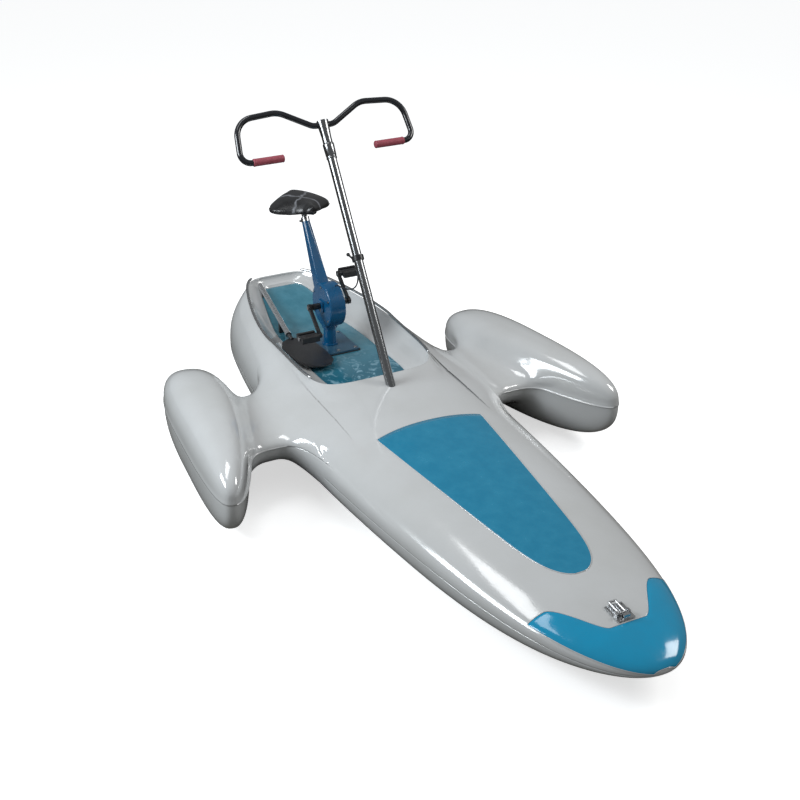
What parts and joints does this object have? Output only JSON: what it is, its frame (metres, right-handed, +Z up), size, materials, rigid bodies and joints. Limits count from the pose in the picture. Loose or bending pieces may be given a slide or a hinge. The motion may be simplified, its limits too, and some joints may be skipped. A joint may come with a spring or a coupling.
{
  "type": "pedal boat",
  "caption": "Pedal-driven boat with a slender hull, two outrigger floats, a cockpit with a saddle and cranks, a leaning steering column with a wide handlebar, a propeller leg and a rudder.",
  "frame": {"origin": "on the ground under the middle of the hull, on the boat's centre plane", "axes": "+X towards the bow, +Y to port, +Z up"},
  "size_m": [3.4362, 2.006, 1.5272],
  "materials": {
    "gelcoat": "polished gelcoat",
    "deck_blue": "polished",
    "sole_teal": "polished",
    "drive_blue": "polished",
    "stainless": "brushed",
    "bright_rails": "plated",
    "paddle_tube": "anodised",
    "black_rubber": "matt",
    "black_metal": "satin black",
    "black_plastic": "moulded",
    "black_tube": "black anodised",
    "red_grips": "soft",
    "saddle_cover": "grained vinyl"
  },
  "bodies": {
    "boat": {"hull_moulding": "gelcoat", "deck_moulding": "gelcoat", "outrigger_top_port": "gelcoat", "outrigger_top_starboard": "gelcoat", "outrigger_bottom_port": "gelcoat", "outrigger_bottom_starboard": "gelcoat", "keel_strip": "black_rubber", "foredeck_panel": "deck_blue", "bow_cap": "deck_blue", "cockpit_sole": "sole_teal", "aft_sole": "sole_teal", "coaming_trim": "stainless", "drive_plate": "drive_blue", "plate_gasket": "black_rubber", "plate_screws": "stainless", "pedestal_tube": "drive_blue", "gear_case_starboard": "drive_blue", "gear_case_port": "drive_blue", "case_screws": "stainless", "seat_column": "drive_blue", "seat_clamp": "stainless", "spindle_bearings": "stainless", "bearing_flanges": "drive_blue", "shaft_bearings": "stainless", "drive_leg": "black_plastic", "leg_gearbox": "black_plastic", "steering_tube": "stainless", "column_collar": "black_plastic", "lever_clamp": "black_plastic", "control_cable": "black_plastic", "bow_plate": "stainless", "paddle_clips": "black_plastic", "rudder_trunk": "stainless", "steering_cable": "black_plastic"},
    "crank": {"crank_spindle": "black_metal", "crank_arm_starboard": "black_metal", "crank_arm_port": "black_metal", "crank_bolts": "stainless", "crown_gear": "stainless"},
    "starboard_pedal": {"pedal_starboard": "black_plastic"},
    "port_pedal": {"pedal_port": "black_plastic"},
    "drive_line": {"drive_shaft": "stainless", "shaft_pinions": "stainless"},
    "screw": {"propeller_gear": "stainless", "propeller_shaft": "stainless", "propeller": "black_plastic"},
    "steering": {"steering_shaft": "stainless", "handlebar_head": "stainless", "handlebar": "black_tube", "handlebar_grips": "red_grips"},
    "rudder": {"rudder_blade": "black_plastic", "rudder_stock": "stainless"},
    "seat": {"seat_post": "stainless", "saddle_base": "black_plastic", "saddle_rails": "bright_rails", "saddle_cover": "saddle_cover"},
    "lever": {"shift_lever": "black_plastic"},
    "tow_loop": {"bow_loop": "stainless"},
    "paddle": {"paddle_shaft": "paddle_tube", "paddle_blade": "black_plastic"}
  },
  "joints": [
    {"name": "crank_spin", "type": "hinge", "parent": "boat", "child": "crank", "pos_m": [-1.024, 0, 0.548], "axis": [0, 1, 0], "continuous": true},
    {"name": "starboard_pedal_spin", "type": "hinge", "parent": "crank", "child": "starboard_pedal", "pos_m": [-0.91253, -0.166, 0.44763], "axis": [0, 1, 0], "continuous": true},
    {"name": "port_pedal_spin", "type": "hinge", "parent": "crank", "child": "port_pedal", "pos_m": [-1.13547, 0.166, 0.64837], "axis": [0, 1, 0], "continuous": true},
    {"name": "drive_line_spin", "type": "hinge", "parent": "boat", "child": "drive_line", "pos_m": [-1.024, 0, 0.3], "axis": [0, 0, 1], "continuous": true},
    {"name": "screw_spin", "type": "hinge", "parent": "boat", "child": "screw", "pos_m": [-1.1, 0, 0.11], "axis": [1, 0, 0], "continuous": true},
    {"name": "steering_turn", "type": "hinge", "parent": "boat", "child": "steering", "pos_m": [-0.365, 0, 0.39], "axis": [-0.5457, 0, 0.838], "range_deg": [-40, 40]},
    {"name": "rudder_turn", "type": "hinge", "parent": "boat", "child": "rudder", "pos_m": [-1.545, 0, 0.2], "axis": [0, 0, 1], "range_deg": [-33, 33]},
    {"name": "seat_height", "type": "slide", "parent": "boat", "child": "seat", "axis": [-0.509, 0, 0.8607], "range_m": [-0.012, 0.08]},
    {"name": "lever_tilt", "type": "hinge", "parent": "boat", "child": "lever", "pos_m": [-0.73582, 0, 0.87885], "axis": [0, 1, 0], "range_deg": [-25, 25]},
    {"name": "tow_loop_fold", "type": "hinge", "parent": "boat", "child": "tow_loop", "pos_m": [1.45526, 0, 0.28246], "axis": [0, 1, 0], "range_deg": [0, 110]},
    {"name": "paddle_lift", "type": "slide", "parent": "boat", "child": "paddle", "axis": [0, 0, 1], "range_m": [0, 0.05]}
  ],
  "couplings": [
    {"joint": "drive_line_spin", "follows": "crank_spin", "ratio": -4},
    {"joint": "screw_spin", "follows": "crank_spin", "ratio": -3},
    {"joint": "rudder_turn", "follows": "steering_turn", "ratio": -0.8}
  ]
}
